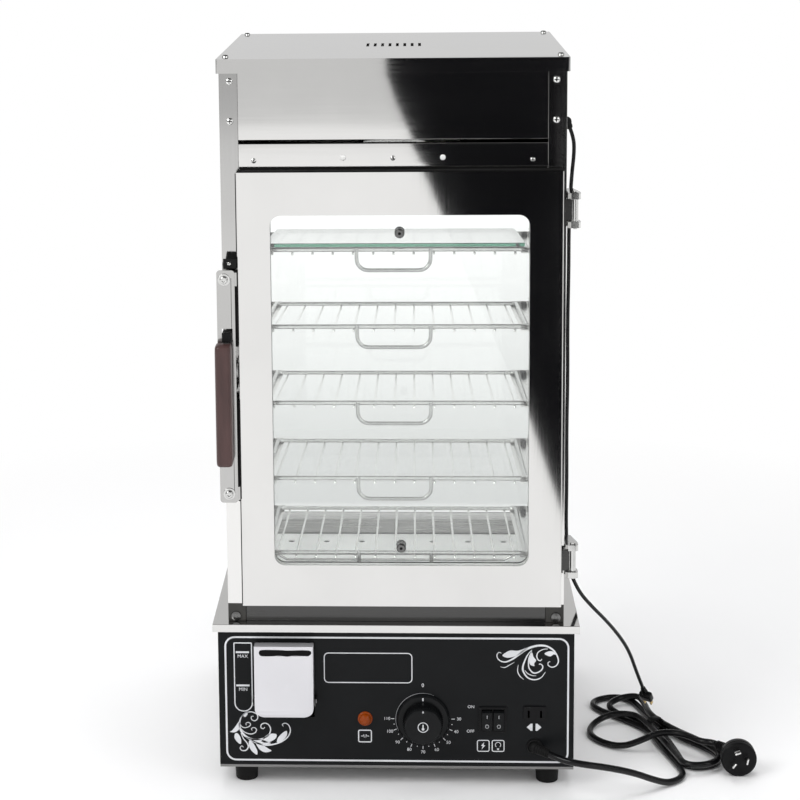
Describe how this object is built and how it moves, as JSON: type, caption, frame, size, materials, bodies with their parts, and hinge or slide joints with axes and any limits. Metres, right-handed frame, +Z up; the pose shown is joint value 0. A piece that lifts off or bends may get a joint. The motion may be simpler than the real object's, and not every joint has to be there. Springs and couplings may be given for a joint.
{
  "type": "bun steamer",
  "caption": "Countertop steam cabinet: glass door with a latch handle, sloping wire racks over a water tank, control panel with dial, switches and tip-out filler, tied mains lead beside it.",
  "frame": {"origin": "on the floor, under the middle of the object without its cords", "axes": "+X to the right as seen from the front, -Y to the front where the door is, +Z up"},
  "size_m": [0.5775, 0.421, 0.7772],
  "materials": {
    "base_top_rim": "brushed stainless steel",
    "base_shell": "brushed stainless steel",
    "base_bottom_plate": "brushed stainless steel",
    "front_panel": "brushed stainless steel",
    "panel_overlay": "black printed overlay",
    "rubber_feet": "black rubber",
    "water_tank": "brushed stainless steel",
    "steam_plate": "brushed stainless steel",
    "heating_element": "sheathed heater tube",
    "drain_pipe": "plain brass",
    "thermostat": "moulded control body",
    "dial_skirt": "black moulded skirt",
    "dial_knob": "black moulded knob",
    "indicator_lens": "orange lens",
    "indicator_body": "black moulded body",
    "switch_body": "black moulded frame",
    "heater_rocker": "black moulded rocker",
    "lamp_rocker": "black moulded rocker",
    "outlet_socket": "black moulded socket",
    "cord_glands": "black soft plastic",
    "filler_box": "white moulded plastic",
    "corner_posts": "brushed stainless steel",
    "corner_blocks": "black moulded block",
    "lower_rails": "brushed stainless steel",
    "front_rail": "brushed stainless steel",
    "upper_front_panel": "brushed stainless steel",
    "roof_walls": "brushed stainless steel",
    "ceiling_plate": "brushed stainless steel",
    "top_cap": "brushed stainless steel",
    "cabinet_glass": "clear tempered glass",
    "lamp_lens": "heat-proof lamp glass",
    "lamp_holder": "ceramic-white holder on a bracket",
    "lamp_bulb": "clear oven bulb",
    "rack_frames": "brushed stainless steel",
    "drip_plate": "clear glass with green edges",
    "door_frame": "brushed stainless steel",
    "door_inner_frame": "brushed stainless steel",
    "door_glass": "clear tempered glass",
    "door_gasket": "black silicone",
    "door_bolts": "polished steel",
    "hinge_brackets": "polished steel",
    "hinge_leaves": "polished steel",
    "handle_channel": "satin steel",
    "handle_grip": "brown moulded plastic",
    "latch_lever": "black lever",
    "latch_roller": "nylon roller",
    "latch_strike": "brushed stainless steel",
    "stop_block": "black rubber block",
    "screws": "plated steel",
    "lamp_cord": "black sheath",
    "lamp_plug": "black moulded plug",
    "mains_cord_lead": "black sheath",
    "mains_cord_hank": "black sheath",
    "cord_tie": "black tie",
    "mains_plug": "black moulded plug",
    "rack_1": "plated wire",
    "rack_2": "plated wire",
    "rack_3": "plated wire",
    "rack_4": "plated wire",
    "rack_5": "plated wire"
  },
  "bodies": {
    "cabinet": {"base_top_rim": "base_top_rim", "base_shell": "base_shell", "base_bottom_plate": "base_bottom_plate", "front_panel": "front_panel", "panel_overlay": "panel_overlay", "rubber_feet": "rubber_feet", "water_tank": "water_tank", "steam_plate": "steam_plate", "heating_element": "heating_element", "drain_pipe": "drain_pipe", "thermostat": "thermostat", "indicator_lens": "indicator_lens", "indicator_body": "indicator_body", "switch_body": "switch_body", "outlet_socket": "outlet_socket", "cord_glands": "cord_glands", "corner_posts": "corner_posts", "corner_blocks": "corner_blocks", "lower_rails": "lower_rails", "front_rail": "front_rail", "upper_front_panel": "upper_front_panel", "roof_walls": "roof_walls", "ceiling_plate": "ceiling_plate", "top_cap": "top_cap", "cabinet_glass": "cabinet_glass", "lamp_lens": "lamp_lens", "lamp_holder": "lamp_holder", "lamp_bulb": "lamp_bulb", "rack_frames": "rack_frames", "hinge_brackets": "hinge_brackets", "latch_strike": "latch_strike", "stop_block": "stop_block", "screws": "screws", "lamp_cord": "lamp_cord", "lamp_plug": "lamp_plug", "mains_cord_lead": "mains_cord_lead", "mains_cord_hank": "mains_cord_hank", "cord_tie": "cord_tie", "mains_plug": "mains_plug"},
    "door": {"door_frame": "door_frame", "door_inner_frame": "door_inner_frame", "door_glass": "door_glass", "door_gasket": "door_gasket", "door_bolts": "door_bolts", "hinge_leaves": "hinge_leaves", "handle_channel": "handle_channel", "handle_grip": "handle_grip"},
    "latch": {"latch_lever": "latch_lever", "latch_roller": "latch_roller"},
    "dial": {"dial_skirt": "dial_skirt", "dial_knob": "dial_knob"},
    "heater_switch": {"heater_rocker": "heater_rocker"},
    "lamp_switch": {"lamp_rocker": "lamp_rocker"},
    "filler": {"filler_box": "filler_box"},
    "top_rack": {"rack_1": "rack_1", "drip_plate": "drip_plate"},
    "rack_2_body": {"rack_2": "rack_2"},
    "rack_3_body": {"rack_3": "rack_3"},
    "rack_4_body": {"rack_4": "rack_4"},
    "rack_5_body": {"rack_5": "rack_5"}
  },
  "joints": [
    {"name": "door_hinge", "type": "hinge", "parent": "cabinet", "child": "door", "pos_m": [0.1846, -0.1705, 0.4], "axis": [0, 0, 1], "range_deg": [0, 110]},
    {"name": "latch_pivot", "type": "hinge", "parent": "door", "child": "latch", "pos_m": [-0.16995, -0.1813, 0.478], "axis": [-1, 0, 0], "range_deg": [0, 5], "stiffness_Nm_per_rad": 0.8},
    {"name": "dial_turn", "type": "hinge", "parent": "cabinet", "child": "dial", "pos_m": [0.0285, -0.1745, 0.076], "axis": [0, 1, 0], "range_deg": [0, 270]},
    {"name": "heater_rocker_tilt", "type": "hinge", "parent": "cabinet", "child": "heater_switch", "pos_m": [0.096, -0.1677, 0.0756], "axis": [-1, 0, 0], "range_deg": [0, 18]},
    {"name": "lamp_rocker_tilt", "type": "hinge", "parent": "cabinet", "child": "lamp_switch", "pos_m": [0.1084, -0.1677, 0.0756], "axis": [-1, 0, 0], "range_deg": [0, 18]},
    {"name": "filler_tip", "type": "hinge", "parent": "cabinet", "child": "filler", "pos_m": [-0.1172, -0.1782, 0.098], "axis": [1, 0, 0], "range_deg": [0, 22]},
    {"name": "rack_1_slide", "type": "slide", "parent": "cabinet", "child": "top_rack", "axis": [0, -0.9945, 0.1045], "range_m": [0, 0.006]},
    {"name": "rack_2_slide", "type": "slide", "parent": "cabinet", "child": "rack_2_body", "axis": [0, -0.9945, 0.1045], "range_m": [0, 0.006]},
    {"name": "rack_3_slide", "type": "slide", "parent": "cabinet", "child": "rack_3_body", "axis": [0, -0.9945, 0.1045], "range_m": [0, 0.006]},
    {"name": "rack_4_slide", "type": "slide", "parent": "cabinet", "child": "rack_4_body", "axis": [0, -0.9945, 0.1045], "range_m": [0, 0.006]},
    {"name": "rack_5_slide", "type": "slide", "parent": "cabinet", "child": "rack_5_body", "axis": [0, -0.9945, 0.1045], "range_m": [0, 0.006]}
  ]
}
